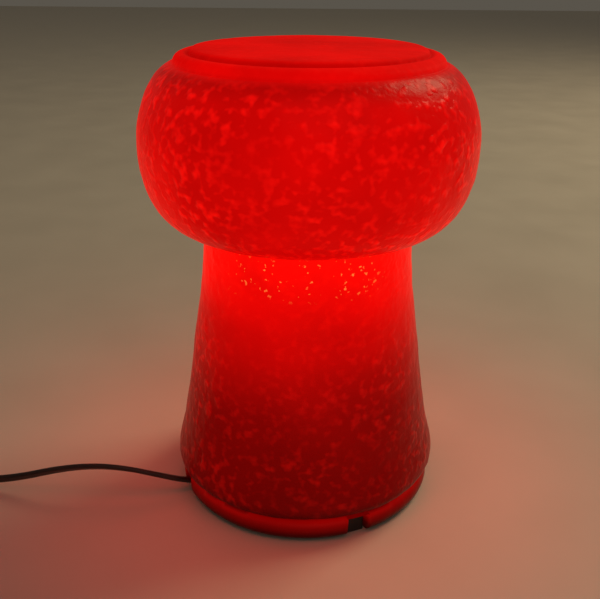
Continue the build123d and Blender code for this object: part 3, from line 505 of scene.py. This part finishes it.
def glass_point(place, degrees, on_outside):
    """A place of the outline turned to a column, with the casting's unevenness and the notches."""
    radius, height = place
    angle = math.radians(degrees)
    off = hand_made(radius, angle, height) if on_outside else 0.0
    if height < FOOT_TOP or radius < POLE_RADIUS:
        off *= FOOT_AND_POLE_SHARE
    across = radius + off * (1.0 if height < STEM_TOP else TOP_SHARE)
    lift = 0.0 if height < FLAT_TOP_START else min(off, 0.0) * FOOT_AND_POLE_SHARE
    if on_outside and radius > NOTCH_STEP_RADIUS and RING_EDGE[0] < height < RING_EDGE[1]:
        lift += ring_lump(degrees)
    up = height + lift
    if in_notch(degrees) and radius > FOOT_INNER_RADIUS:
        up = max(up, NOTCH_OUTER_HEIGHT if radius > NOTCH_STEP_RADIUS else NOTCH_HEIGHT)
    return (across * math.cos(angle) * MM, across * math.sin(angle) * MM, up * MM)


def lathe_glass():
    """The glass as one closed skin, turned from its outline, with notches and a hand-made surface."""
    outside = outside_outline()
    outline = outside + inside_outline()
    angles = glass_angles()
    vertices = [
        glass_point(place, degrees, index < len(outside))
        for degrees in angles
        for index, place in enumerate(outline)
    ]
    rows = len(outline)
    count = len(angles)
    faces = []
    for column in range(count):
        here, there = column * rows, (column + 1) % count * rows
        for row in range(rows - 1):
            faces.append((here + row, here + row + 1, there + row + 1, there + row))
    faces.append([column * rows for column in range(count)])
    faces.append([column * rows + rows - 1 for column in reversed(range(count))])
    mesh = bpy.data.meshes.new("glass")
    mesh.from_pydata(vertices, [], faces)
    mesh.update()
    return mesh


def shown(name, mesh, material, body, *stands_for):
    """Puts a mesh in the scene as a piece that rides on a body and stands for solids."""
    piece = bpy.data.objects.new(name, mesh)
    bpy.context.scene.collection.objects.link(piece)
    paint(piece, material)
    piece.data.polygons.foreach_set("use_smooth", [True] * len(piece.data.polygons))
    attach(piece, body)
    if stands_for:
        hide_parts(*stands_for)
    return piece


glass = shown("cast_glass", lathe_glass(), LIT_GLASS, "glass", "glass_body")


# The flat flex

def route_line(name, points):
    """Closely spaced places along the smooth line that a route's points control."""
    curve = bpy.data.curves.new(name, "CURVE")
    curve.dimensions = "3D"
    spline = curve.splines.new("NURBS")
    spline.points.add(len(points) - 1)
    for control, (x, y, z) in zip(spline.points, points):
        control.co = (x * MM, y * MM, z * MM, 1)
    spline.order_u = 3
    spline.use_endpoint_u = True
    spline.resolution_u = 4
    holder = bpy.data.objects.new(name, curve)
    line = bpy.data.meshes.new_from_object(holder)
    places = [vertex.co.copy() for vertex in line.vertices]
    bpy.data.objects.remove(holder)
    bpy.data.meshes.remove(line)
    return places


def flex_section():
    """The flat twin flex cut across: two round cores side by side, joined by a web."""
    core = FLEX_THICKNESS / 2
    offset = (FLEX_WIDTH - FLEX_THICKNESS) / 2
    outline = []
    for side in (1, -1):
        for step in range(CORE_STEPS):
            half_turn = 0 if side > 0 else 180
            angle = math.radians(CORE_FIRST_DEGREES + half_turn + CORE_STEP_DEGREES * step)
            outline.append((side * offset + core * math.cos(angle), core * math.sin(angle)))
    return outline


def flex_piece(name, places, twist, first_turn):
    """The flex swept along a line, turning about itself by twist radians for each metre."""
    section = flex_section()
    side = Vector((0, 0, 1)).cross(places[1] - places[0]).normalized()
    vertices = []
    travelled = 0.0
    for index, place in enumerate(places):
        before = places[max(index - 1, 0)]
        after = places[min(index + 1, len(places) - 1)]
        along = (after - before).normalized()
        side = (side - along * side.dot(along)).normalized()
        up = along.cross(side)
        travelled += (place - before).length
        turn = first_turn + twist * travelled
        wide = side * math.cos(turn) + up * math.sin(turn)
        thin = up * math.cos(turn) - side * math.sin(turn)
        vertices += [place + (wide * a + thin * b) * MM for a, b in section]
    around = len(section)
    faces = []
    for ring in range(len(places) - 1):
        for step in range(around):
            following = (step + 1) % around
            low, high = ring * around, (ring + 1) * around
            faces.append((low + step, low + following, high + following, high + step))
    faces.append(list(reversed(range(around))))
    faces.append([(len(places) - 1) * around + step for step in range(around)])
    mesh = bpy.data.meshes.new(name)
    mesh.from_pydata([tuple(vertex) for vertex in vertices], [], faces)
    mesh.update()
    return mesh


def coil_points():
    """The coil's own part of the route: four layers that spiral in and out again."""
    swing = COIL_PITCH * COIL_TURNS_EACH / 2
    points = []
    for number in range(COIL_LAYERS * COIL_POINTS_EACH + 1):
        progress = number / COIL_POINTS_EACH
        layer = min(int(progress), COIL_LAYERS - 1)
        share = progress - layer
        radius = COIL_MIDDLE_RADIUS + swing * (1 - 2 * share if layer % 2 == 0 else 2 * share - 1)
        climbs = [
            smooth_step((progress - turn + CLIMB_HALF_STEP) / (2 * CLIMB_HALF_STEP))
            for turn in range(1, COIL_LAYERS)
        ]
        angle = math.radians(90 + 360 * COIL_TURNS_EACH * progress)
        points.append((
            COIL_CENTRE[0] + radius * math.cos(angle),
            COIL_CENTRE[1] + radius * math.sin(angle),
            COIL_FIRST_HEIGHT + COIL_PITCH * sum(climbs),
        ))
    return points


def length_of(places):
    """The length of a line through places."""
    return sum((after - before).length for before, after in zip(places, places[1:]))


coil = coil_points()
tail_y = coil[-1][1]
tail = [(x, tail_y + aside, z) for x, aside, z in zip(TAIL_X, TAIL_SIDEWAYS, TAIL_HEIGHTS)]
first_stub = (coil[0][0] + FLEX_WIDTH, coil[0][1], coil[0][2])
last_stub = (coil[-1][0] + FLEX_WIDTH, coil[-1][1], coil[-1][2])
lamp_line = route_line("lamp_route", [CORD_EXIT, STRAIGHT_END] + LEAD_TO_SWITCH)
plug_line = route_line("plug_route", LEAD_TO_COIL + [first_stub] + coil + [last_stub] + tail)

lamp_flex = shown(
    "lamp_flex", flex_piece("lamp_flex", lamp_line, LAMP_FLEX_TWIST, LAMP_FLEX_TURN), FLEX, "base",
    "cord_to_switch",
)
plug_flex = shown(
    "plug_flex", flex_piece("plug_flex", plug_line, 0.0, math.pi / 2), FLEX, "base",
    "cord_to_coil", "cord_coil", "cord_to_plug",
)
print("cord lengths", length_of(lamp_line), length_of(plug_line))


# The stage

def floor():
    """A plain pale table top under the lamp."""
    mesh = bpy.data.meshes.new("table_top")
    reach = 4.0
    mesh.from_pydata(
        [(-reach, -reach, 0), (reach, -reach, 0), (reach, reach, 0), (-reach, reach, 0)], [], [(0, 1, 2, 3)]
    )
    piece = bpy.data.objects.new("table_top", mesh)
    bpy.context.scene.collection.objects.link(piece)
    paint(piece, surface("table_top", (0.62, 0.57, 0.49), (0.66, 0.61, 0.53), 0.55, 60.0, 0.0, 0.0001))


def soft_light(name, place, aim, size, power, colour):
    """A square area light that faces a point."""
    light = bpy.data.lights.new(name, "AREA")
    light.shape = "SQUARE"
    light.size = size
    light.energy = power
    light.color = colour
    holder = bpy.data.objects.new(name, light)
    holder.location = place
    holder.rotation_euler = (Vector(aim) - Vector(place)).to_track_quat("-Z", "Y").to_euler()
    bpy.context.scene.collection.objects.link(holder)


def lamp_glow():
    """The red light that the lit glass throws round itself, from a ring of small lights."""
    count, ring_radius, ring_height = 6, 0.105, 0.11
    for number in range(count):
        light = bpy.data.lights.new("glow", "POINT")
        light.energy = 0.09
        light.color = (1.0, 0.035, 0.015)
        light.shadow_soft_size = 0.03
        holder = bpy.data.objects.new("glow", light)
        angle = math.tau * (number + 0.5) / count
        holder.location = (ring_radius * math.cos(angle), ring_radius * math.sin(angle), ring_height)
        holder.visible_glossy = False
        bpy.context.scene.collection.objects.link(holder)


def studio():
    """A dim even room with a soft key light from the upper right."""
    world = bpy.data.worlds.new("room")
    bpy.context.scene.world = world
    world.use_nodes = True
    background = world.node_tree.nodes["Background"]
    background.inputs["Color"].default_value = (1.0, 0.88, 0.70, 1)
    background.inputs["Strength"].default_value = 0.10
    soft_light("key", (1.3, 0.9, 1.5), (0, 0, 0.1), 0.9, 15.0, (1.0, 0.80, 0.50))
    soft_light("fill", (0.6, -1.6, 2.0), (0, 0, 0.1), 2.4, 3.5, (1.0, 0.90, 0.76))
    bpy.context.scene.view_settings.view_transform = "Standard"


def photo_camera():
    """The camera where the photograph was taken from, found from the lamp's rims."""
    place = (0, -0.4420, 0.2977)
    focal_pixels = 845.35
    picture_width = 600
    down, turned, rolled = 0.39839, -0.0085194, 0.008035
    forward = Vector((
        math.sin(turned) * math.cos(down), math.cos(turned) * math.cos(down), -math.sin(down)
    ))
    right = Vector((math.cos(turned), -math.sin(turned), 0))
    up = right.cross(forward)
    tilted_right = math.cos(rolled) * right + math.sin(rolled) * up
    tilted_up = math.cos(rolled) * up - math.sin(rolled) * right
    camera = bpy.data.cameras.new("photo_camera")
    camera.sensor_width = 36.0
    camera.lens = camera.sensor_width * focal_pixels / picture_width
    camera.clip_start = 0.01
    holder = bpy.data.objects.new("photo_camera", camera)
    facing = Matrix((tilted_right, tilted_up, -forward)).transposed().to_4x4()
    holder.matrix_world = Matrix.Translation(place) @ facing
    bpy.context.scene.collection.objects.link(holder)
    bpy.context.scene.camera = holder


floor()
studio()
lamp_glow()
photo_camera()
